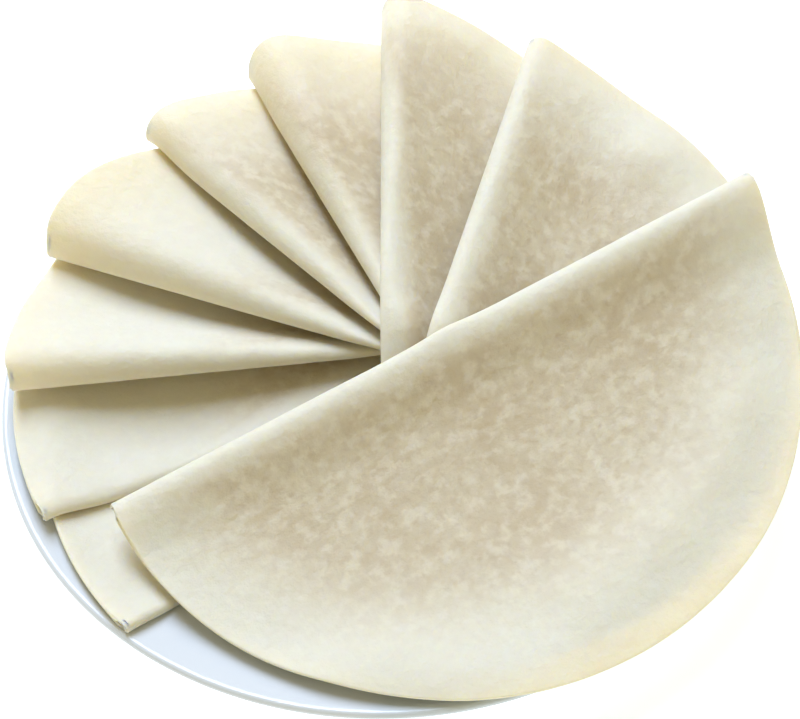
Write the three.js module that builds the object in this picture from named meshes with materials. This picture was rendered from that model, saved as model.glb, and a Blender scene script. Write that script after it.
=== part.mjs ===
// Nine thin wheat pancakes, each folded in half, laid round in a fan on one white porcelain plate.
// Millimetres, +Z up. The plate stands on its foot ring, and the fan opens towards the back, +Y.
import * as THREE from 'three';

// Plate: a shallow coupe with a level floor, a curved wing and a low foot ring.
const RIM_RADIUS = 100;
const RIM_HEIGHT = 18;
const FLOOR_RADIUS = 50;
const FLOOR_HEIGHT = 6;
const WING_POWER = 1.7;
const RIM_ROUND = 1.1;
const WALL = 3.4;
const FOOT_RADIUS = 58;
const FOOT_WIDTH = 5;
const FOOT_DEPTH = 2.8;
const FOOT_EDGE = 0.7;
const RIM_TURNS = [-60, 0, 60];
const UNDER_STEPS = 4;
const OVER_STEPS = 7;
const PLATE_SIDES = 48;

// Pancake leaf: one fold makes two leaves. Towards the fold's outer end they stand a little apart, most
// of all at their round edge, and the pancakes on top press the rest nearly shut.
const LEAF = 1;
const SLIT_PRESSED = 0.5;
const SLIT_LOOSE = 0.9;
const SLIT_OPENING = 1.3;
const LOOSE_FROM = -0.1;
const LOOSE_TO = 0.6;
const REST_GAP = 0.35;
const LEAST_GAP = 0.35;

// The mesh of one pancake: cells from the fold to the round edge, and from end to end of the fold.
const CELLS_OUT = 9;
const CELLS_ALONG = 16;
const CELL_CROWDING = 2;

// Height map on which the pancakes are laid down one by one.
const MAP_HALF = 130;
const MAP_STEP = 2;
const FINE_STEP = 0.5;
const BELOW_ALL = -50;
const TINY = 1e-9;
const SAG_ROUNDS = 1200;
const SAG_RATE = 0.24;
const SAG_WEIGHT = 0.009;
const BEND_ROUNDS = 900;
const BEND_RATE = 0.03;
const BEND_WEIGHT = 0.0011;
const MARGIN = 6;
const LIFT_BAND = 3;
const LIFT_START = -5;
const CLEAR_ROUNDS = 24;

// From the bottom up. turn: direction of the fold's outer end, in degrees from +X. x, y: middle of the
// fold. long: length of the upper leaf, where the fold missed the middle. loose: how freely the leaves
// stand apart. inner, middle, outer: the upper leaf's puff at each end and the middle of the fold: its
// rise, how far its crest lies behind the fold, and the width over which it dies away. lift: heights
// over the rim of the fold's outer end, its middle and, on the last one, its inner end, where it spans
// what is below.
const FLAT = { loose: 0.3, inner: [0.3, 2, 8], middle: [0, 1.2, 6] };
const TIGHT = { loose: 1, inner: [0.3, 2, 8], middle: [0, 1.2, 6] };
const SPRUNG = { loose: 1, inner: [0.3, 2, 8], middle: [1.5, 5, 12] };
const BRIDGE = { loose: 0.3, inner: [2, 5, 12], middle: [2, 5, 12] };
const PANCAKES = [
  { ...FLAT, turn: 222.7, x: 5.4, y: -13, radius: 93.2, long: 1, outer: [0.3, 2, 10] },
  { ...FLAT, turn: 209.6, x: -3.9, y: 0.9, radius: 92.9, long: 1, outer: [1, 4, 14] },
  { ...TIGHT, turn: 187.6, x: -1.6, y: 3.6, radius: 94.6, long: 1.02, outer: [7, 12, 40], lift: [7, -1.5] },
  { ...TIGHT, turn: 158.8, x: -2.9, y: 1.8, radius: 93.1, long: 1, outer: [12, 20, 60], lift: [9, 3.5] },
  { ...TIGHT, turn: 132.7, x: -0.4, y: 3.1, radius: 93.6, long: 1.01, outer: [9, 16, 60], lift: [14, 8] },
  { ...TIGHT, turn: 113.6, x: 3.3, y: 3.2, radius: 95.3, long: 1.02, outer: [14, 14, 120], lift: [19, 11] },
  { ...SPRUNG, turn: 87.2, x: -0.5, y: 9.7, radius: 93.9, long: 1.01, outer: [9, 9, 80], lift: [28, 15] },
  { ...SPRUNG, turn: 70.1, x: 12.9, y: 1.5, radius: 94.2, long: 1.01, outer: [4, 7, 36], lift: [25, 16] },
  {
    ...BRIDGE, turn: 25, x: 13.5, y: -6.3, radius: 90.2, long: 1.04, outer: [2.5, 5.5, 16],
    lift: [28.5, 17, 5.5],
  },
];
const PUFF_TAKE_UP = 0.75;
const FOLD_TAKE_UP = Math.PI / 2 - 1;
const SLOPE_STEP = 0.02;

const plateGlaze = new THREE.MeshStandardMaterial({ color: 0xeef2f3, roughness: 0.15, metalness: 0 });
const pancakeCrumb = new THREE.MeshStandardMaterial({ color: 0xe9e4c8, roughness: 0.75, metalness: 0 });

const clamp = (value, low, high) => Math.min(Math.max(value, low), high);

// Height of the plate's upper face at a radius: level, then a wing that rises as a power of the radius.
function plateTop(radius) {
  const k = clamp((radius - FLOOR_RADIUS) / (RIM_RADIUS - FLOOR_RADIUS), 0, 1);
  return FLOOR_HEIGHT + (RIM_HEIGHT - FLOOR_HEIGHT) * k ** WING_POWER;
}

function makePlate() {
  const profile = [];
  const add = (radius, height) => profile.push(new THREE.Vector2(radius, height));
  const rimCentre = RIM_RADIUS - RIM_ROUND;
  const footInner = FOOT_RADIUS - FOOT_WIDTH;
  // underside, from the axis out
  add(0, FOOT_DEPTH);
  add(footInner - FOOT_EDGE, FOOT_DEPTH);
  add(footInner, 0);
  add(FOOT_RADIUS, 0);
  add(FOOT_RADIUS + FOOT_EDGE, FOOT_DEPTH);
  for (let step = 1; step <= UNDER_STEPS; step += 1) {
    const radius = FOOT_RADIUS + (rimCentre - FOOT_RADIUS) * step / (UNDER_STEPS + 1);
    add(radius, plateTop(radius) - WALL);
  }
  for (const turn of RIM_TURNS) {
    const angle = THREE.MathUtils.degToRad(turn);
    add(rimCentre + RIM_ROUND * Math.cos(angle), RIM_HEIGHT - RIM_ROUND + RIM_ROUND * Math.sin(angle));
  }
  // upper face, from the rim in
  for (let step = OVER_STEPS - 1; step >= 0; step -= 1) {
    const radius = FLOOR_RADIUS + (rimCentre - FLOOR_RADIUS) * step / OVER_STEPS;
    add(radius, plateTop(radius));
  }
  add(0, FLOOR_HEIGHT);
  const shape = new THREE.LatheGeometry(profile, PLATE_SIDES);
  shape.rotateX(Math.PI / 2);
  const mesh = new THREE.Mesh(shape, plateGlaze);
  mesh.name = 'plate';
  return mesh;
}

// Square map of heights, row by row, with the point x = y = -MAP_HALF first.
class HeightMap {
  constructor(step, heightAt) {
    this.step = step;
    this.side = Math.round(2 * MAP_HALF / step) + 1;
    this.height = new Float64Array(this.side * this.side);
    this.forEach((x, y, index) => {
      this.height[index] = heightAt(x, y);
    });
  }

  forEach(visit) {
    for (let row = 0; row < this.side; row += 1) {
      for (let column = 0; column < this.side; column += 1) {
        visit(column * this.step - MAP_HALF, row * this.step - MAP_HALF, row * this.side + column);
      }
    }
  }

  at(x, y) {
    const last = this.side - 1 - TINY;
    const u = clamp((x + MAP_HALF) / this.step, 0, last);
    const v = clamp((y + MAP_HALF) / this.step, 0, last);
    const column = Math.floor(u);
    const row = Math.floor(v);
    const i = row * this.side + column;
    const low = this.height[i] * (1 - u + column) + this.height[i + 1] * (u - column);
    const j = i + this.side;
    const high = this.height[j] * (1 - u + column) + this.height[j + 1] * (u - column);
    return low * (1 - v + row) + high * (v - row);
  }

  // Calls visit(index, height, weights) for each map point under the triangle with corners a, b and c.
  underTriangle(a, b, c, visit) {
    const cross = (b[0] - a[0]) * (c[1] - a[1]) - (b[1] - a[1]) * (c[0] - a[0]);
    if (Math.abs(cross) < TINY) return;
    const first = (low) => Math.max(0, Math.ceil((low + MAP_HALF) / this.step));
    const last = (high) => Math.min(this.side - 1, Math.floor((high + MAP_HALF) / this.step));
    const rowEnd = last(Math.max(a[1], b[1], c[1]));
    const columnEnd = last(Math.max(a[0], b[0], c[0]));
    for (let row = first(Math.min(a[1], b[1], c[1])); row <= rowEnd; row += 1) {
      const y = row * this.step - MAP_HALF;
      for (let column = first(Math.min(a[0], b[0], c[0])); column <= columnEnd; column += 1) {
        const x = column * this.step - MAP_HALF;
        const s = ((x - a[0]) * (c[1] - a[1]) - (y - a[1]) * (c[0] - a[0])) / cross;
        const t = ((b[0] - a[0]) * (y - a[1]) - (b[1] - a[1]) * (x - a[0])) / cross;
        if (s >= 0 && t >= 0 && s + t <= 1) {
          const height = a[2] + s * (b[2] - a[2]) + t * (c[2] - a[2]);
          visit(row * this.side + column, height, [1 - s - t, s, t]);
        }
      }
    }
  }
}

// The shape of one folded pancake in its own terms: a along the fold, d square to it, over the half disc.
class Fold {
  constructor(size) {
    Object.assign(this, size);
    const angle = THREE.MathUtils.degToRad(size.turn);
    this.cos = Math.cos(angle);
    this.sin = Math.sin(angle);
    this.short = 2 - size.long;
  }

  local(x, y) {
    const east = x - this.x;
    const north = y - this.y;
    return [east * this.cos + north * this.sin, east * this.sin - north * this.cos];
  }

  world(a, d) {
    return [this.x + a * this.cos + d * this.sin, this.y + a * this.sin - d * this.cos];
  }

  // Mean length of the two leaves from the fold to the round edge.
  reach(a) {
    return Math.sqrt(Math.max(this.radius ** 2 - a ** 2, 0));
  }

  // Whether a point lies under the longer leaf, or no more than a margin outside it.
  covers(a, d, margin = 0) {
    return d >= -margin && Math.hypot(a, d / Math.max(this.long, this.short)) < this.radius + margin;
  }

  // Thickness of the two leaves and the slit where they lie flat.
  flat(a, d) {
    const free = this.loose * clamp((a / this.radius - LOOSE_FROM) / (LOOSE_TO - LOOSE_FROM), 0, 1);
    const way = clamp((a * a + d * d) / this.radius ** 2, 0, 1);
    return 2 * LEAF + SLIT_PRESSED + free * (SLIT_LOOSE + SLIT_OPENING * way);
  }

  nose(a) {
    return this.flat(a, 0) / 2;
  }

  // Rise, crest and run-out of the upper leaf's puff, each straight from the fold's middle to an end.
  puffAt(a) {
    const end = a > 0 ? this.outer : this.inner;
    const way = Math.min(Math.abs(a) / this.radius, 1);
    const [rise, ridge, ease] = this.middle.map((size, i) => size + (end[i] - size) * way);
    return { rise, ridge, ease };
  }

  // Outer face of the upper leaf over the outer face of the lower one: a quarter ellipse up from the
  // fold to the crest, then a cosine down to the flat thickness.
  top(a, d) {
    const { rise, ridge, ease } = this.puffAt(a);
    const nose = this.nose(a);
    const past = clamp((d - ridge) / ease, 0, 1);
    const full = this.flat(a, d) + rise * (0.5 + 0.5 * Math.cos(Math.PI * past));
    if (d >= ridge) return full;
    return nose + (full - nose) * Math.sqrt(Math.max(1 - (1 - Math.max(d, 0) / ridge) ** 2, 0));
  }

  // Outer face of the lower leaf: flat, with a quarter circle up to the middle of the fold.
  bottom(a, d) {
    const nose = this.nose(a);
    if (d >= nose) return 0;
    return nose * (1 - Math.sqrt(Math.max(1 - (1 - Math.max(d, 0) / nose) ** 2, 0)));
  }

  // Where each leaf ends, seen from above: its length less what the fold and the puff take up.
  topEnd(a) {
    const { rise, ridge } = this.puffAt(a);
    const reach = this.reach(a) * this.long;
    return reach - PUFF_TAKE_UP * rise * (1 - Math.exp(-reach / ridge));
  }

  bottomEnd(a) {
    const reach = this.reach(a) * this.short;
    const nose = this.nose(a);
    return reach - FOLD_TAKE_UP * nose * (1 - Math.exp(-reach / nose));
  }
}

// One step of diffusion on the map points in the mask; the sheet's free edge takes no part.
function spread(height, mask, neighbours, side, result) {
  for (let i = side; i < height.length - side; i += 1) {
    if (mask[i]) {
      const sum = height[i - 1] * mask[i - 1] + height[i + 1] * mask[i + 1]
        + height[i - side] * mask[i - side] + height[i + side] * mask[i + side];
      result[i] = sum - neighbours[i] * height[i];
    }
  }
}

// Lays a sheet on the pile: it sags between what holds it up, then its stiffness rounds every bend.
function layDown(fold, pile) {
  const side = pile.side;
  const floor = new Float64Array(pile.height.length);
  const mask = new Uint8Array(pile.height.length);
  const neighbours = new Uint8Array(pile.height.length);
  pile.forEach((x, y, i) => {
    const [a, d] = fold.local(x, y);
    mask[i] = fold.covers(a, d, MARGIN) ? 1 : 0;
    floor[i] = pile.height[i] + REST_GAP;
    if (fold.lift && d < LIFT_BAND && (a > LIFT_START || fold.lift.length > 2)) {
      const end = a > 0 ? fold.lift[0] : fold.lift[2] ?? fold.lift[1];
      const along = fold.lift[1] + (end - fold.lift[1]) * Math.abs(a) / fold.radius;
      floor[i] = Math.max(floor[i], RIM_HEIGHT + along);
    }
  });
  for (let i = side; i < mask.length - side; i += 1) {
    neighbours[i] = mask[i - 1] + mask[i + 1] + mask[i - side] + mask[i + side];
  }
  const sheet = new HeightMap(MAP_STEP, () => 0);
  const z = sheet.height;
  for (let i = 0; i < z.length; i += 1) {
    z[i] = mask[i] ? Math.max(floor[i], 0) : 0;
  }
  const first = new Float64Array(z.length);
  const second = new Float64Array(z.length);
  const settle = (change, rate, weight) => {
    for (let i = 0; i < z.length; i += 1) {
      if (mask[i]) z[i] = Math.max(floor[i], z[i] + rate * change[i] - weight);
    }
  };
  for (let round = 0; round < SAG_ROUNDS; round += 1) {
    spread(z, mask, neighbours, side, first);
    settle(first, SAG_RATE, SAG_WEIGHT);
  }
  for (let round = 0; round < BEND_ROUNDS; round += 1) {
    spread(z, mask, neighbours, side, first);
    spread(first, mask, neighbours, side, second);
    settle(second, -BEND_RATE, BEND_WEIGHT);
  }
  return sheet;
}

// Adds the pancake's own thickness to the pile.
function pileUp(fold, sheet, pile) {
  pile.forEach((x, y, i) => {
    const [a, d] = fold.local(x, y);
    if (!fold.covers(a, d)) return;
    const thick = d < fold.topEnd(a) ? fold.top(a, d) : LEAF;
    pile.height[i] = Math.max(pile.height[i], sheet.height[i] + thick);
  });
}

// Point on the outer or inner face of a leaf. The inner face lies one leaf's thickness inside, square
// to the section's curve.
function leafPoint(fold, sheet, a, share, upper, inner) {
  const end = upper ? fold.topEnd(a) : fold.bottomEnd(a);
  const curve = upper ? (d) => fold.top(a, d) : (d) => fold.bottom(a, d);
  let d = end * share;
  let z = curve(d);
  if (inner && share === 0) {
    d = LEAF;
  } else if (inner) {
    const before = Math.max(d - SLOPE_STEP, 0);
    const after = d + SLOPE_STEP;
    const slope = (curve(after) - curve(before)) / (after - before);
    const length = Math.hypot(1, slope);
    const side = upper ? 1 : -1;
    d += side * LEAF * slope / length;
    z -= side * LEAF / length;
  }
  const [x, y] = fold.world(a, d);
  return [x, y, sheet.at(x, y) + z];
}

// Grid of one pancake: for each face, a row for each place along the fold and a column for each cell
// line, from the lower leaf's edge (column 0) round the fold to the upper leaf's edge. The two ends of
// the fold are single points.
function leafGrids(fold, sheet) {
  const grids = { outer: [], inner: [] };
  for (const face of ['outer', 'inner']) {
    for (let row = 0; row <= CELLS_ALONG; row += 1) {
      const a = -fold.radius * Math.cos(Math.PI * row / CELLS_ALONG);
      const pole = row === 0 || row === CELLS_ALONG;
      const line = [];
      for (let column = -CELLS_OUT; column <= CELLS_OUT; column += 1) {
        const share = pole ? 0 : (Math.abs(column) / CELLS_OUT) ** CELL_CROWDING;
        line.push(leafPoint(fold, sheet, a, share, column >= 0, face === 'inner'));
      }
      grids[face].push(line);
    }
  }
  return grids;
}

// Calls visit(corners) for both triangles of each cell of a face, turned so that they face outwards.
function eachTriangle(grid, flip, visit, columns = [0, 2 * CELLS_OUT]) {
  for (let row = 0; row < CELLS_ALONG; row += 1) {
    for (let column = columns[0]; column < columns[1]; column += 1) {
      const near = grid[row][column];
      const far = grid[row][column + 1];
      const nearNext = grid[row + 1][column];
      const farNext = grid[row + 1][column + 1];
      const triangles = [];
      if (row > 0) triangles.push([near, far, nearNext]);
      if (row < CELLS_ALONG - 1) triangles.push([far, farNext, nearNext]);
      for (const [p, q, r] of triangles) {
        visit(flip ? [p, r, q] : [p, q, r]);
      }
    }
  }
}

// Raises the grid's points wherever a facet of the lower leaf comes too near to the pile's facets. Each
// round clears the worst place under each facet, and moves its corners as little as that takes.
function keepClear(grids, solidTop) {
  for (let round = 0; round < CLEAR_ROUNDS; round += 1) {
    const raise = new Map();
    eachTriangle(grids.outer, false, (corners) => {
      let worst = 0;
      let shares = [0, 0, 0];
      solidTop.underTriangle(...corners, (index, height, weights) => {
        const need = solidTop.height[index] + LEAST_GAP - height;
        if (need <= worst) return;
        worst = need;
        shares = weights;
      });
      const length = shares.reduce((sum, share) => sum + share * share, TINY);
      corners.forEach((corner, i) => {
        raise.set(corner, Math.max(raise.get(corner) ?? 0, worst * shares[i] / length));
      });
    }, [0, CELLS_OUT]);
    for (let row = 0; row <= CELLS_ALONG; row += 1) {
      const needs = grids.outer[row].map((corner) => raise.get(corner) ?? 0);
      const pole = row === 0 || row === CELLS_ALONG;
      for (let column = 0; column <= CELLS_OUT; column += 1) {
        const need = pole ? Math.max(...needs) : needs[column];
        for (const face of ['outer', 'inner']) {
          grids[face][row][column][2] += need;
          if (column < CELLS_OUT) grids[face][row][2 * CELLS_OUT - column][2] += need;
        }
      }
    }
  }
}

function makePancake(name, fold, sheet, solidTop) {
  const grids = leafGrids(fold, sheet);
  keepClear(grids, solidTop);
  const corners = [];
  const add = (triangle) => corners.push(...triangle);
  eachTriangle(grids.outer, false, add);
  eachTriangle(grids.inner, true, add);
  // the cut edge of the disc, all the way round
  const { outer, inner } = grids;
  const last = 2 * CELLS_OUT;
  for (let row = 0; row < CELLS_ALONG; row += 1) {
    add([outer[row][0], outer[row + 1][0], inner[row][0]]);
    add([inner[row][0], outer[row + 1][0], inner[row + 1][0]]);
    add([outer[row][last], inner[row][last], outer[row + 1][last]]);
    add([inner[row][last], inner[row + 1][last], outer[row + 1][last]]);
  }
  const shape = new THREE.BufferGeometry();
  shape.setAttribute('position', new THREE.Float32BufferAttribute(corners.flat(), 3));
  shape.computeVertexNormals();
  const mesh = new THREE.Mesh(shape, pancakeCrumb);
  mesh.name = name;
  return mesh;
}

// Marks a mesh's upper side on the fine map.
function coverTop(mesh, solidTop) {
  const position = mesh.geometry.getAttribute('position');
  const index = mesh.geometry.getIndex();
  const count = index ? index.count : position.count;
  const corner = (i) => {
    const at = index ? index.getX(i) : i;
    return [position.getX(at), position.getY(at), position.getZ(at)];
  };
  for (let i = 0; i < count; i += 3) {
    solidTop.underTriangle(corner(i), corner(i + 1), corner(i + 2), (at, height) => {
      solidTop.height[at] = Math.max(solidTop.height[at], height);
    });
  }
}

const stack = new THREE.Group();
const plate = makePlate();
stack.add(plate);

const pile = new HeightMap(MAP_STEP, (x, y) => {
  const radius = Math.hypot(x, y);
  return radius < RIM_RADIUS - RIM_ROUND ? plateTop(radius) : BELOW_ALL;
});
const solidTop = new HeightMap(FINE_STEP, () => BELOW_ALL);
coverTop(plate, solidTop);
PANCAKES.forEach((size, order) => {
  const fold = new Fold(size);
  const sheet = layDown(fold, pile);
  const mesh = makePancake(`pancake_${order + 1}`, fold, sheet, solidTop);
  coverTop(mesh, solidTop);
  pileUp(fold, sheet, pile);
  stack.add(mesh);
});

// The origin is the middle of the footprint, on the table.
const box = new THREE.Box3().setFromObject(stack);
const middle = box.getCenter(new THREE.Vector3());
stack.position.set(-middle.x, -middle.y, -box.min.z);
stack.updateMatrixWorld(true);

export default stack;
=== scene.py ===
# Nine thin wheat pancakes, each folded in half, laid round in a fan on a white porcelain plate.
from math import cos, pi, radians, sin, tau

import bmesh
import bpy
import numpy as np
from mathutils import Matrix, Vector


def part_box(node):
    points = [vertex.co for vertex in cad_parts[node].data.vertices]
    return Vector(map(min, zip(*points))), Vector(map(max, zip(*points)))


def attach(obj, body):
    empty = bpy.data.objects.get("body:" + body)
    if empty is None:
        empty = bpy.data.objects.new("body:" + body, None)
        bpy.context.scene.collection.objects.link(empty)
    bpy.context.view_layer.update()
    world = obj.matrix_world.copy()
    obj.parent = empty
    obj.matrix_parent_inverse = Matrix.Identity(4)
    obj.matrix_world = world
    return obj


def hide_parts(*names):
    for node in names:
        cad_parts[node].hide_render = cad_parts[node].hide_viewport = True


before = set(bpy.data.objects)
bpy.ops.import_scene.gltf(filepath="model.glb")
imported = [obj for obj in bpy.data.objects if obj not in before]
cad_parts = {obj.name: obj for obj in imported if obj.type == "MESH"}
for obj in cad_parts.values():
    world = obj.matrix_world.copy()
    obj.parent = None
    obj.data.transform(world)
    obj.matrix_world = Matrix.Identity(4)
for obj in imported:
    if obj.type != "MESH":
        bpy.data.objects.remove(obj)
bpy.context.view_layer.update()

# Camera
# It looks down at the table from a seat in front of it, through the middle of the plate at the height
# of the rim, and is tipped a little to one side.
MM = 0.001
RIM_HEIGHT = 18
CAMERA_RISE = radians(51)
CAMERA_REACH = 420
CAMERA_TIP = radians(-3.14)
CAMERA_LENS = 72.5
CAMERA_FILM = 36
CAMERA_SHIFT = (0.0174, 0.0068)

plate_low, plate_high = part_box("plate")
PLATE_X = (plate_low[0] + plate_high[0]) / 2 / MM
PLATE_Y = (plate_low[1] + plate_high[1]) / 2 / MM

away = Vector((0, -cos(CAMERA_RISE), sin(CAMERA_RISE)))
level = Vector((1, 0, 0))
upright = away.cross(level)
across = level * cos(CAMERA_TIP) + upright * sin(CAMERA_TIP)
stand = Vector((PLATE_X, PLATE_Y, RIM_HEIGHT)) + away * CAMERA_REACH
camera = bpy.data.objects.new("camera", bpy.data.cameras.new("camera"))
bpy.context.scene.collection.objects.link(camera)
turned = Matrix((across, away.cross(across), away)).transposed().to_4x4()
camera.matrix_world = Matrix.Translation(stand * MM) @ turned
camera.data.lens = CAMERA_LENS
camera.data.sensor_width = CAMERA_FILM
camera.data.shift_x, camera.data.shift_y = CAMERA_SHIFT
bpy.context.scene.camera = camera

# Plate
# A shallow coupe of white porcelain, pressed in one piece: a level floor, a curved wing with a rolled
# lip, and a low foot ring. Clear glaze covers it, apart from the tread it stood on in the kiln.
RIM_RADIUS = 100
FLOOR_RADIUS = 50
FLOOR_HEIGHT = 6
WING_POWER = 1.7
LIP_ROUND = 1.1
LIP_RISE = 0.4
LIP_POWER = 24
WALL = 3.4
WALL_AT_LIP = 2.2
WALL_POWER = 8
FOOT_MIDDLE = 55.5
FOOT_HALF = 2.95
FOOT_SQUARENESS = 14
FOOT_DEPTH = 2.8
TREAD_HEIGHT = 0.35
FLOOR_STEPS = 12
FOOT_STEPS = 72
WING_STEPS = 24
LIP_STEPS = 15
TOP_STEPS = 56
PLATE_SIDES = 288
SAME_SPOT = 0.002

# The sizes above are in millimetres. Those of noise, and the depths of its relief, are in metres.
GLAZE = (0.75, 0.79, 0.80)
GLAZE_POOLED = (0.66, 0.74, 0.77)
GLAZE_POOLS = dict(size=0.03, detail=2, low=0.4, high=0.7, most=0.6)
GLAZE_WAVES = dict(size=0.012, detail=1, low=0.2, high=0.8)
GLAZE_WAVE_DEPTH = 0.00005
GLAZE_PITS = dict(size=0.0016, detail=2, low=0.25, high=0.4)
GLAZE_PIT_DEPTH = 0.00001
BARE_CLAY = (0.72, 0.69, 0.62)
CLAY_STAINS = dict(size=0.004, detail=3, low=0.35, high=0.7)
CLAY_GRIT = dict(size=0.0004, detail=2, low=0.3, high=0.7)
CLAY_GRIT_DEPTH = 0.00004


def wing_height(radius):
    """Upper face: level to FLOOR_RADIUS, then up as a power of the way out, with the lip's upturn."""
    k = np.clip((radius - FLOOR_RADIUS) / (RIM_RADIUS - FLOOR_RADIUS), 0, 1)
    wing = FLOOR_HEIGHT + (RIM_HEIGHT - FLOOR_HEIGHT) * k**WING_POWER
    return wing + LIP_RISE * (radius / RIM_RADIUS) ** LIP_POWER


def under_height(radius):
    """Upper face less the wall, which thins to the lip, all times one less a flat-topped bell: the foot."""
    k = np.clip((radius - FLOOR_RADIUS) / (RIM_RADIUS - FLOOR_RADIUS), 0, 1)
    wall = WALL + (WALL_AT_LIP - WALL) * k**WALL_POWER
    plain = np.maximum(wing_height(radius) - wall, FOOT_DEPTH)
    foot = 1 / (1 + np.abs((radius - FOOT_MIDDLE) / FOOT_HALF) ** FOOT_SQUARENESS)
    return plain * (1 - foot)


def plate_profile():
    """Radii and heights: underside from the axis out, half round of the lip, upper face back in."""
    lip = RIM_RADIUS - LIP_ROUND
    foot_band = (FOOT_MIDDLE - 2 * FOOT_HALF, FOOT_MIDDLE + 2 * FOOT_HALF)
    under = np.concatenate([
        np.linspace(0, foot_band[0], FLOOR_STEPS, endpoint=False),
        np.linspace(*foot_band, FOOT_STEPS, endpoint=False),
        np.linspace(foot_band[1], lip, WING_STEPS, endpoint=False),
    ])
    over = np.linspace(lip, 0, TOP_STEPS)[1:]
    top = wing_height(np.array(lip))
    turn = np.linspace(-pi / 2, pi / 2, LIP_STEPS)
    radii = [under, lip + LIP_ROUND * np.cos(turn), over]
    heights = [under_height(under), top - LIP_ROUND + LIP_ROUND * np.sin(turn), wing_height(over)]
    return np.concatenate(radii), np.concatenate(heights)


def closed_shell(name, points, flat=None):
    """Joins a grid of points, in millimetres, into one closed shell.

    Each cell is a face, the last column meets the first, and points on one spot are merged, which
    closes a row that shrinks to a point or folds on itself. flat gives each point's place on a map.
    """
    rows, columns = points.shape[:2]
    row = np.arange(rows - 1)[:, None] * columns
    column = np.arange(columns)[None, :]
    after = (column + 1) % columns
    cells = np.stack([row + column, row + after, row + columns + after, row + columns + column], -1)
    mesh = bpy.data.meshes.new(name)
    mesh.from_pydata((points.reshape(-1, 3) * MM).tolist(), [], cells.reshape(-1, 4).tolist())
    if flat is not None:
        corners = np.empty(len(mesh.loops), np.int32)
        mesh.loops.foreach_get("vertex_index", corners)
        places = flat.reshape(-1, 2)[corners] * MM
        mesh.uv_layers.new(name="flat").uv.foreach_set("vector", places.astype(np.float32).ravel())
    build = bmesh.new()
    build.from_mesh(mesh)
    bmesh.ops.remove_doubles(build, verts=build.verts, dist=SAME_SPOT * MM)
    bmesh.ops.recalc_face_normals(build, faces=build.faces)
    build.to_mesh(mesh)
    build.free()
    mesh.shade_smooth()
    piece = bpy.data.objects.new(name, mesh)
    bpy.context.scene.collection.objects.link(piece)
    return piece


def principled(name, **sockets):
    """A material with one Principled shader, whose sockets take the values given; returns its tree too."""
    material = bpy.data.materials.new(name)
    material.use_nodes = True
    tree = material.node_tree
    shader = tree.nodes["Principled BSDF"]
    for socket, value in sockets.items():
        shader.inputs[socket.replace("_", " ")].default_value = value
    return material, tree, shader


def stretched(tree, value, low, high, most=1):
    """A value stretched so that low to high gives 0 to most, with soft ends."""
    stretch = tree.nodes.new("ShaderNodeMapRange")
    stretch.interpolation_type = "SMOOTHSTEP"
    stretch.inputs["From Min"].default_value = low
    stretch.inputs["From Max"].default_value = high
    stretch.inputs["To Max"].default_value = most
    tree.links.new(value, stretch.inputs["Value"])
    return stretch.outputs["Result"]


def speckle(tree, place, size, detail, low, high, most=1):
    """Noise with cells of a size in metres, stretched so that low to high gives 0 to most."""
    noise = tree.nodes.new("ShaderNodeTexNoise")
    noise.inputs["Scale"].default_value = 1 / size
    noise.inputs["Detail"].default_value = detail
    tree.links.new(place, noise.inputs["Vector"])
    return stretched(tree, noise.outputs["Fac"], low, high, most)


def between(tree, share, first, second):
    """Colour on the way from first to second. Each is a colour, or a socket that gives one."""
    mix = tree.nodes.new("ShaderNodeMix")
    mix.data_type = "RGBA"
    tree.links.new(share, mix.inputs["Factor"])
    sockets = [socket for socket in mix.inputs if socket.type == "RGBA"]
    for socket, colour in zip(sockets, (first, second)):
        if isinstance(colour, tuple):
            socket.default_value = (*colour, 1)
        else:
            tree.links.new(colour, socket)
    return next(socket for socket in mix.outputs if socket.type == "RGBA")


def relief(tree, height, depth, over=None):
    """Bump of a depth in metres, laid over another bump."""
    bump = tree.nodes.new("ShaderNodeBump")
    bump.inputs["Distance"].default_value = depth
    tree.links.new(height, bump.inputs["Height"])
    if over is not None:
        tree.links.new(over, bump.inputs["Normal"])
    return bump.outputs["Normal"]


def glazed_porcelain():
    """White body under clear glaze: a hint of blue where it pools, and faint waves in the gloss."""
    material, tree, shader = principled("glazed porcelain", Roughness=0.09, IOR=1.52)
    place = tree.nodes.new("ShaderNodeTexCoord").outputs["Object"]
    pooled = speckle(tree, place, **GLAZE_POOLS)
    tree.links.new(between(tree, pooled, GLAZE, GLAZE_POOLED), shader.inputs["Base Color"])
    waves = relief(tree, speckle(tree, place, **GLAZE_WAVES), GLAZE_WAVE_DEPTH)
    pits = relief(tree, speckle(tree, place, **GLAZE_PITS), GLAZE_PIT_DEPTH, waves)
    tree.links.new(pits, shader.inputs["Normal"])
    return material


def bare_porcelain():
    """The tread, ground smooth and left without glaze: matt, faintly gritty, a little stained."""
    material, tree, shader = principled("bare porcelain", Roughness=0.72)
    place = tree.nodes.new("ShaderNodeTexCoord").outputs["Object"]
    stains = speckle(tree, place, **CLAY_STAINS)
    tree.links.new(between(tree, stains, GLAZE, BARE_CLAY), shader.inputs["Base Color"])
    grit = relief(tree, speckle(tree, place, **CLAY_GRIT), CLAY_GRIT_DEPTH)
    tree.links.new(grit, shader.inputs["Normal"])
    return material


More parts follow.
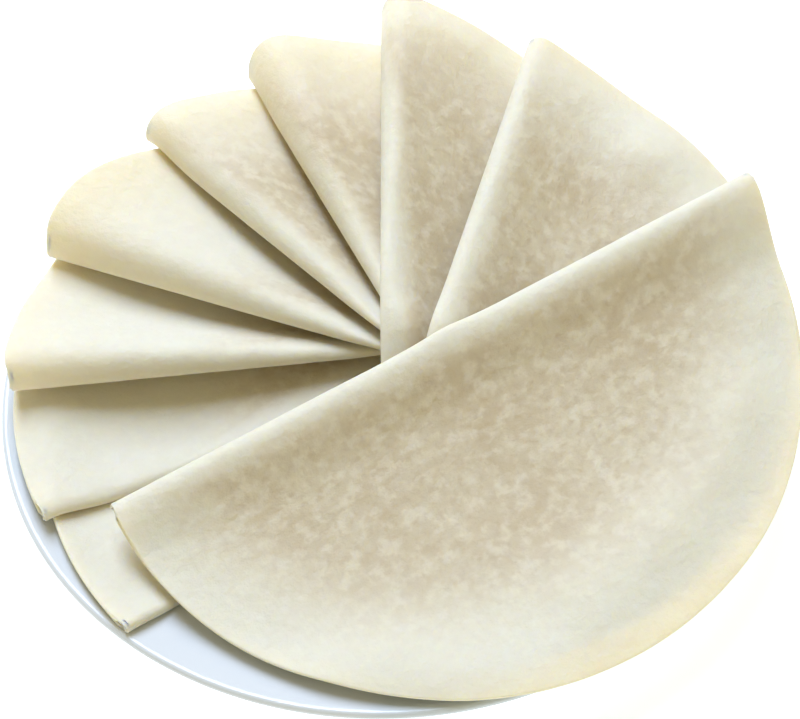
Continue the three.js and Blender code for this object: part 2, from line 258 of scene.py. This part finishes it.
radii, heights = (side[:, None] for side in plate_profile())
around = np.linspace(0, tau, PLATE_SIDES, endpoint=False)[None, :]
plate_points = np.stack([
    PLATE_X + radii * np.cos(around),
    PLATE_Y + radii * np.sin(around),
    heights + 0 * around,
], -1)
plate = closed_shell("porcelain_plate", plate_points)
plate.data.materials.append(glazed_porcelain())
plate.data.materials.append(bare_porcelain())
middles = np.empty(3 * len(plate.data.polygons))
plate.data.polygons.foreach_get("center", middles)
on_tread = middles[2::3] < TREAD_HEIGHT * MM
plate.data.polygons.foreach_set("material_index", on_tread.astype(np.int32))
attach(plate, "root")
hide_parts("plate")

# Pancakes
# Plain wheat dough, rolled out thin in pairs, cooked on a dry pan and pulled apart while hot, so each
# is pale, soft and faintly mottled. Each is folded in half by hand and laid on the one before, turned
# a little further round, with its fold propped on the rounds below.
LEAF = 1
SLIT_PRESSED = 0.2
SLIT_LOOSE = 1.2
SLIT_OPENING = 1.3
LOOSE_FROM = -0.1
LOOSE_TO = 0.6
REST_GAP = 0.35
ROWS = 144
COLUMNS = 64
CROWDING = 2
EDGE_TURNS = 5
MAP_HALF = 130
MAP_STEP = 2
BELOW_ALL = -50
SAG_ROUNDS = 1200
SAG_RATE = 0.24
SAG_WEIGHT = 0.009
BEND_ROUNDS = 900
BEND_RATE = 0.03
BEND_WEIGHT = 0.0011
MARGIN = 6
LIFT_BAND = 3
LIFT_START = -5
PUFF_TAKE_UP = 0.75
FOLD_TAKE_UP = pi / 2 - 1
WAVES = 7
WAVE_LENGTHS = (20, 60)
WAVE_HEIGHT = 0.1
WAVE_START = 12
TRIM_WAVES = 5
TRIM_FIRST = 2
TRIM = 0.0035
TINY = 1e-12

# The pale colour last here is painted light for the edges and the crest of each fold; against it the middle
# of each leaf stays darker, as painted shade.
DOUGH = (0.68, 0.59, 0.41)
DOUGH_WARM = (0.62, 0.52, 0.34)
DOUGH_FLOURY = (0.80, 0.72, 0.55)
DOUGH_COOKED = (0.58, 0.47, 0.29)
DOUGH_PAINTED_LIGHT = (0.89, 0.82, 0.66)

# Where the painted light begins and where it is complete, in metres, out from the middle of the round or
# in towards the fold. On the lowest four it begins nearer the middle: painted light on rounds that the
# folds above shade.
EDGE_PAINTED_LIGHT_SPAN = (0.055, 0.09)
LOW_FOUR_PAINTED_LIGHT_SPAN = (0.01, 0.055)
ROUNDS_WITH_MORE_PAINTED_LIGHT = 4
FOLD_PAINTED_HIGHLIGHT_SPAN = (0.013, 0.004)
MOST_PAINTED_LIGHT = 0.85
DOUGH_PATCHES = dict(size=0.024, detail=2, low=0.35, high=0.65)
DOUGH_FLOUR = dict(size=0.0042, detail=4, low=0.42, high=0.66, most=0.6)
DOUGH_FLECKS = dict(size=0.0026, detail=3, low=0.45, high=0.72, most=0.6)
DOUGH_SWELLS = dict(size=0.0055, detail=2, low=0.2, high=0.8)
DOUGH_SWELL_DEPTH = 0.00022
DOUGH_BLISTERS = dict(size=0.0019, detail=2, low=0.3, high=0.7)
DOUGH_BLISTER_DEPTH = 0.00006
DOUGH_GRAIN = dict(size=0.0005, detail=3, low=0.25, high=0.75)
DOUGH_GRAIN_DEPTH = 0.00003
DOUGH_DEPTHS = (1, 0.82, 0.45)
DOUGH_SOAK = 0.002

# Each round's place on the dough's noise lies this many millimetres past the last, so no two are alike.
DOUGH_APART = 300

# From the bottom up. turn: direction of the fold's outer end, in degrees from +X. x, y: middle of the
# fold. long: length of the upper leaf, where the fold missed the middle. loose: how freely the leaves
# stand apart. inner, middle, outer: the upper leaf's puff at each end and the middle of the fold: its
# rise, how far its crest lies behind the fold, and the width over which it dies away. lift: heights
# over the rim of the fold's outer end, its middle and, on the last one, its inner end, where it spans
# what is below.
FLATTENED = dict(loose=0.3, inner=(0.3, 2, 8), middle=(0, 1.1, 6))
PRESSED = dict(loose=1, inner=(0.3, 2, 8), middle=(0, 1.1, 6))
SPRINGY = dict(loose=1, inner=(0.3, 2, 8), middle=(1.5, 5, 12))
BRIDGE = dict(loose=0.3, inner=(2, 5, 12), middle=(2, 5, 12))
PANCAKES = [
    dict(turn=222.7, x=5.4, y=-13, radius=93.2, long=1, outer=(0.3, 2, 10), lift=None, **FLATTENED),
    dict(turn=209.6, x=-3.9, y=0.9, radius=92.9, long=1, outer=(1, 4, 14), lift=None, **FLATTENED),
    dict(turn=187.6, x=-1.6, y=3.6, radius=94.6, long=1.02, outer=(7, 12, 40), lift=(7, -1.5), **PRESSED),
    dict(turn=158.8, x=-2.9, y=1.8, radius=93.1, long=1, outer=(12, 20, 60), lift=(9, 3.5), **PRESSED),
    dict(turn=132.7, x=-0.4, y=3.1, radius=93.6, long=1.01, outer=(9, 16, 60), lift=(14, 8), **PRESSED),
    dict(turn=113.6, x=3.3, y=3.2, radius=95.3, long=1.02, outer=(14, 14, 120), lift=(19, 11), **PRESSED),
    dict(turn=87.2, x=-0.5, y=9.7, radius=93.9, long=1.01, outer=(9, 9, 80), lift=(28, 15), **SPRINGY),
    dict(turn=70.1, x=12.9, y=1.5, radius=94.2, long=1.01, outer=(4, 7, 36), lift=(25, 16), **SPRINGY),
    dict(turn=25, x=13.5, y=-6.3, radius=90.2, long=1.04, outer=(2.5, 5.5, 16), lift=(28.5, 17, 5.5),
         **BRIDGE),
]


class Fold:
    """One folded pancake in its own terms: a runs along the fold to its outer end, d square to it.

    Each size given for it in PANCAKES becomes a value of the same name.
    """

    def __init__(self, order, size):
        self.__dict__.update(size)
        self.cos, self.sin = cos(radians(self.turn)), sin(radians(self.turn))
        self.short = 2 - self.long
        chance = np.random.default_rng(order)
        self.wave_turn = chance.uniform(0, tau, WAVES)
        self.wave_rate = tau / chance.uniform(*WAVE_LENGTHS, WAVES)
        self.wave_start = chance.uniform(0, tau, WAVES)
        self.trim_start = chance.uniform(0, tau, (2, TRIM_WAVES))

    def local(self, x, y):
        east, north = x - self.x, y - self.y
        return east * self.cos + north * self.sin, east * self.sin - north * self.cos

    def world(self, a, d):
        return self.x + a * self.cos + d * self.sin, self.y + a * self.sin - d * self.cos

    def reach(self, a):
        """Mean length of the two leaves from the fold to the round edge: the half chord at a."""
        return np.sqrt(np.maximum(self.radius**2 - a**2, 0))

    def covers(self, a, d, margin=0):
        """Whether a point lies under the longer leaf, or no more than a margin outside it."""
        return (d >= -margin) & (np.hypot(a, d / max(self.long, self.short)) < self.radius + margin)

    def flat(self, a, d):
        """Two leaves and the slit between them, which opens as the square of the way to the edge.

        Towards the fold's inner end the pancakes on top press the slit nearly shut.
        """
        free = self.loose * np.clip((a / self.radius - LOOSE_FROM) / (LOOSE_TO - LOOSE_FROM), 0, 1)
        way = np.clip((a**2 + d**2) / self.radius**2, 0, 1)
        return 2 * LEAF + SLIT_PRESSED + free * (SLIT_LOOSE + SLIT_OPENING * way)

    def nose(self, a):
        return self.flat(a, 0) / 2

    def puff_at(self, a):
        """Rise, crest and run-out of the upper leaf's puff, each straight from the middle to an end."""
        sizes = zip(self.inner, self.middle, self.outer)
        return [np.interp(a / self.radius, (-1, 0, 1), size) for size in sizes]

    def unevenness(self, a, d):
        """Sum of a few long low waves in all directions, which die away towards the fold."""
        waves = 0
        for turn, rate, start in zip(self.wave_turn, self.wave_rate, self.wave_start):
            waves = waves + np.sin(rate * (a * cos(turn) + d * sin(turn)) + start)
        return WAVE_HEIGHT / WAVES**0.5 * waves * (1 - np.exp(-((d / WAVE_START) ** 2)))

    def top(self, a, d):
        """Outer face of the upper leaf over that of the lower one.

        A quarter ellipse up from the fold to the crest of the puff, a cosine down to the flat
        thickness, and the dough's unevenness.
        """
        d = np.maximum(d, 0)
        rise, ridge, ease = self.puff_at(a)
        nose = self.nose(a)
        past = np.clip((d - ridge) / ease, 0, 1)
        full = self.flat(a, d) + rise * (0.5 + 0.5 * np.cos(pi * past)) + self.unevenness(a, d)
        bow = np.sqrt(np.clip(1 - (1 - d / ridge) ** 2, 0, 1))
        return np.where(d < ridge, nose + (full - nose) * bow, full)

    def bottom(self, a, d):
        """Outer face of the lower leaf: flat, with a quarter circle up to the middle of the fold."""
        nose = self.nose(a)
        return nose * (1 - np.sqrt(np.clip(1 - (1 - np.minimum(d / nose, 1)) ** 2, 0, 1)))

    def trim(self, a, leaf):
        """Length of a leaf's edge over its true round: one plus sines of the angle along the edge."""
        angle = np.arccos(np.clip(a / self.radius, -1, 1))
        waves = np.arange(TRIM_FIRST, TRIM_FIRST + TRIM_WAVES)
        return 1 + TRIM * np.sin(angle[:, None] * waves + self.trim_start[leaf]).sum(1)

    def top_end(self, a):
        """Where the upper leaf ends, seen from above: its length less what the puff takes up."""
        rise, ridge, _ = self.puff_at(a)
        reach = self.reach(a) * self.long
        return reach - PUFF_TAKE_UP * rise * (1 - np.exp(-reach / ridge))

    def bottom_end(self, a):
        """Where the lower leaf ends: its length less what the fold's round takes up."""
        reach = self.reach(a) * self.short
        return reach - FOLD_TAKE_UP * self.nose(a) * (1 - np.exp(-reach / self.nose(a)))


def bend(height, sheet, links):
    """How far the mean of a point's neighbours on the sheet lies over it, times their number."""
    held = np.pad(height * sheet, 1)
    near = held[:-2, 1:-1] + held[2:, 1:-1] + held[1:-1, :-2] + held[1:-1, 2:]
    return (near - links * height) * sheet


def lay_down(fold, pile, x, y):
    """Heights of the pancake's underside on the pile.

    It first sags like a slack sheet over what holds it up, as diffusion with a weight, then its
    stiffness rounds every bend, as diffusion of the bend itself. It never sinks into the pile.
    """
    a, d = fold.local(x, y)
    sheet = fold.covers(a, d, MARGIN)
    links = bend(sheet * 1.0, sheet, 0)
    floor = pile + REST_GAP
    if fold.lift:
        end = np.where(a > 0, fold.lift[0], fold.lift[-1])
        along = fold.lift[1] + (end - fold.lift[1]) * np.abs(a) / fold.radius
        held_up = (d < LIFT_BAND) & ((a > LIFT_START) | (len(fold.lift) > 2))
        floor = np.where(held_up, np.maximum(floor, RIM_HEIGHT + along), floor)
    z = np.maximum(floor, 0) * sheet
    for _ in range(SAG_ROUNDS):
        z = np.maximum(floor, z + SAG_RATE * bend(z, sheet, links) - SAG_WEIGHT) * sheet
    for _ in range(BEND_ROUNDS):
        curl = bend(bend(z, sheet, links), sheet, links)
        z = np.maximum(floor, z - BEND_RATE * curl - BEND_WEIGHT) * sheet
    return z


def height_at(heights, x, y):
    """Cubic B-spline through a height map: a smooth weighting of the 16 points round each place."""
    across, along = (x + MAP_HALF) / MAP_STEP, (y + MAP_HALF) / MAP_STEP
    column, row = np.floor(across).astype(int), np.floor(along).astype(int)

    def weights(t):
        return (1 - t) ** 3 / 6, (3 * t**3 - 6 * t**2 + 4) / 6, (3 * t * (1 + t - t**2) + 1) / 6, t**3 / 6

    total = 0
    for i, by_row in enumerate(weights(along - row)):
        for j, by_column in enumerate(weights(across - column)):
            total = total + by_row * by_column * heights[row + i - 1, column + j - 1]
    return total


def unit(vectors):
    return vectors / np.maximum(np.linalg.norm(vectors, axis=-1, keepdims=True), TINY)


def pancake_points(fold, under):
    """Grid of one pancake: a row for each place along the fold, a column for each place round its section.

    The section runs from the lower leaf's edge round the fold to the upper leaf's, over that cut edge
    in a half circle, back along the inner faces, one leaf's thickness square inside the outer ones, and
    round the lower leaf's edge. Returns each point, and its place on the dough before it was folded.
    """
    radius = fold.radius - LEAF / 2
    a = -radius * np.cos(np.linspace(0, pi, ROWS + 1))
    share = np.linspace(0, 1, COLUMNS + 1) ** CROWDING
    chord = np.sqrt(np.maximum(radius**2 - a**2, 0)) / fold.reach(a)
    lower = (fold.bottom_end(a) * chord * fold.trim(a, 0))[:, None] * share[:0:-1]
    upper = (fold.top_end(a) * chord * fold.trim(a, 1))[:, None] * share
    along = a[:, None]
    d = np.concatenate([lower, upper], 1)
    z = np.concatenate([fold.bottom(along, lower), fold.top(along, upper)], 1)
    x, y = fold.world(along, d)
    outer = np.stack([x, y, height_at(under, x, y) + z], -1)

    out_along, out_round = np.gradient(outer, axis=0), np.gradient(outer, axis=1)
    square = np.cross(out_round, out_along)
    square[[0, -1]] = square[[1, -2], COLUMNS][:, None]
    square = unit(square)
    inner = outer - LEAF * square

    ends = []
    for edge, side in ((-1, 1), (0, -1)):
        outward = side * np.cross(unit(out_along[:, edge]), square[:, edge])
        outward[0] = -fold.cos, -fold.sin, 0
        outward[-1] = fold.cos, fold.sin, 0
        turn = np.linspace(0, pi, EDGE_TURNS + 2)[1:-1][None, :, None]
        middle = (outer[:, edge] + inner[:, edge]) / 2
        half = (outer[:, edge] - inner[:, edge]) / 2
        ends.append(
            middle[:, None] + half[:, None] * np.cos(turn) + LEAF / 2 * outward[:, None] * np.sin(turn)
        )
    points = np.concatenate([outer, ends[0], inner[:, ::-1], ends[1][:, ::-1]], 1)

    steps = np.linalg.norm(np.diff(outer, axis=1), axis=-1)
    run = np.concatenate([0 * along, np.cumsum(steps, 1)], 1)
    run = run - run[:, COLUMNS:COLUMNS + 1]
    place = np.stack([along + 0 * run, run], -1)
    flat = np.concatenate([
        place,
        np.repeat(place[:, -1:], EDGE_TURNS, 1),
        place[:, ::-1],
        np.repeat(place[:, :1], EDGE_TURNS, 1),
    ], 1)
    return points, flat


def painted_light_share(tree, place, to_edge):
    """Share of painted light on one round: none in the middle of a leaf, all at its edge and its fold, as a
    painted highlight on the fold's crest and the rim.
    """
    local = tree.nodes.new("ShaderNodeVectorMath")
    local.operation = "WRAP"
    tree.links.new(place, local.inputs[0])
    half = DOUGH_APART * MM / 2
    local.inputs[1].default_value = (half, half, half)
    local.inputs[2].default_value = (-half, -half, -half)
    out = tree.nodes.new("ShaderNodeVectorMath")
    out.operation = "LENGTH"
    tree.links.new(local.outputs["Vector"], out.inputs[0])
    parts = tree.nodes.new("ShaderNodeSeparateXYZ")
    tree.links.new(local.outputs["Vector"], parts.inputs["Vector"])
    run = tree.nodes.new("ShaderNodeMath")
    run.operation = "ABSOLUTE"
    tree.links.new(parts.outputs["Y"], run.inputs[0])
    either = tree.nodes.new("ShaderNodeMath")
    either.operation = "MAXIMUM"
    tree.links.new(stretched(tree, out.outputs["Value"], *to_edge, MOST_PAINTED_LIGHT), either.inputs[0])
    tree.links.new(stretched(tree, run.outputs["Value"], *FOLD_PAINTED_HIGHLIGHT_SPAN, MOST_PAINTED_LIGHT), either.inputs[1])
    return either.outputs["Value"]


def wheat_dough(name, to_edge):
    """Soft and dull, and light soaks in: flour and cooked flecks on the dough, and painted light over them,
    pale at the edge and along the fold.

    to_edge gives how far from the middle of a leaf the painted light begins, and where it is complete.
    """
    material, tree, shader = principled(
        name,
        Roughness=0.62,
        Subsurface_Weight=1,
        Subsurface_Radius=DOUGH_DEPTHS,
        Subsurface_Scale=DOUGH_SOAK,
    )
    rolled_flat = tree.nodes.new("ShaderNodeUVMap")
    rolled_flat.uv_map = "flat"
    place = rolled_flat.outputs["UV"]
    colour = between(tree, speckle(tree, place, **DOUGH_PATCHES), DOUGH, DOUGH_WARM)
    colour = between(tree, speckle(tree, place, **DOUGH_FLOUR), colour, DOUGH_FLOURY)
    colour = between(tree, speckle(tree, place, **DOUGH_FLECKS), colour, DOUGH_COOKED)
    # Painted light: pale dough at the edge of each round and along its fold, a painted highlight on the
    # crest.
    colour = between(tree, painted_light_share(tree, place, to_edge), colour, DOUGH_PAINTED_LIGHT)
    tree.links.new(colour, shader.inputs["Base Color"])
    swells = relief(tree, speckle(tree, place, **DOUGH_SWELLS), DOUGH_SWELL_DEPTH)
    blisters = relief(tree, speckle(tree, place, **DOUGH_BLISTERS), DOUGH_BLISTER_DEPTH, swells)
    grain = relief(tree, speckle(tree, place, **DOUGH_GRAIN), DOUGH_GRAIN_DEPTH, blisters)
    tree.links.new(grain, shader.inputs["Normal"])
    return material


map_line = np.arange(-MAP_HALF, MAP_HALF + MAP_STEP, MAP_STEP)
map_x, map_y = np.meshgrid(map_line, map_line)
on_plate = np.hypot(map_x, map_y) < RIM_RADIUS - LIP_ROUND
pile = np.where(on_plate, wing_height(np.hypot(map_x, map_y)), BELOW_ALL)
# Painted light: the lowest four rounds are painted pale from nearer the middle, where the folds above shade
# them.
low_four_painted_dough = wheat_dough("dough with more painted light", LOW_FOUR_PAINTED_LIGHT_SPAN)
dough = wheat_dough("wheat dough", EDGE_PAINTED_LIGHT_SPAN)
for order, size in enumerate(PANCAKES, 1):
    fold = Fold(order, size)
    under = lay_down(fold, pile, map_x, map_y)
    points, flat = pancake_points(fold, under)
    points = points + (PLATE_X, PLATE_Y, 0)
    pancake = closed_shell(f"folded_pancake_{order}", points, flat + DOUGH_APART * order)
    pancake.data.materials.append(low_four_painted_dough if order <= ROUNDS_WITH_MORE_PAINTED_LIGHT else dough)
    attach(pancake, "root")
    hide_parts(f"pancake_{order}")
    a, d = fold.local(map_x, map_y)
    thick = np.where(d < fold.top_end(a), fold.top(a, d), LEAF)
    pile = np.where(fold.covers(a, d), np.maximum(pile, under + thick), pile)

# Light and table
# A tall soft window stands behind the table, a little to the left, and gives cool light. The light of
# the room is warm and comes from all round. The table is plain and nearly white.
TABLE_HALF = 3
TABLE_GAP = 0.0002
TABLE_WHITE = (0.93, 0.93, 0.92, 1)
TABLE_GLOW = (0.86, 0.92, 1, 1)
TABLE_GLOW_STRENGTH = 0.54
WINDOW = dict(turn=104, rise=60, reach=1.3, width=0.5, height=1.2, watts=20.5, colour=(0.62, 0.73, 1))
ROOM = (1, 0.90, 0.60, 1)
ROOM_STRENGTH = 0.49


def soft_light(name, turn, rise, reach, width, height, watts, colour):
    """Flat lamp at a bearing from +X and a height angle, in degrees, that faces the plate."""
    lamp = bpy.data.objects.new(name, bpy.data.lights.new(name, "AREA"))
    bpy.context.scene.collection.objects.link(lamp)
    lamp.data.shape = "RECTANGLE"
    lamp.data.size, lamp.data.size_y = width, height
    lamp.data.energy = watts
    lamp.data.color = colour
    turn, rise = radians(turn), radians(rise)
    towards = Vector((cos(turn) * cos(rise), sin(turn) * cos(rise), sin(rise)))
    faced = towards.to_track_quat("Z", "Y").to_matrix().to_4x4()
    lamp.matrix_world = Matrix.Translation(towards * reach) @ faced


soft_light("window", **WINDOW)
room = bpy.data.worlds.new("room")
room.use_nodes = True
room.node_tree.nodes["Background"].inputs["Color"].default_value = ROOM
room.node_tree.nodes["Background"].inputs["Strength"].default_value = ROOM_STRENGTH
bpy.context.scene.world = room
bpy.context.scene.view_settings.view_transform = "Standard"

table_mesh = bpy.data.meshes.new("table")
corners = [(x * TABLE_HALF, y * TABLE_HALF, -TABLE_GAP) for x, y in ((-1, -1), (1, -1), (1, 1), (-1, 1))]
table_mesh.from_pydata(corners, [], [(0, 1, 2, 3)])
table = bpy.data.objects.new("table", table_mesh)
bpy.context.scene.collection.objects.link(table)
table_card, _, _ = principled(
    "table",
    Base_Color=TABLE_WHITE,
    Roughness=0.9,
    Emission_Color=TABLE_GLOW,
    Emission_Strength=TABLE_GLOW_STRENGTH,
)
table.data.materials.append(table_card)
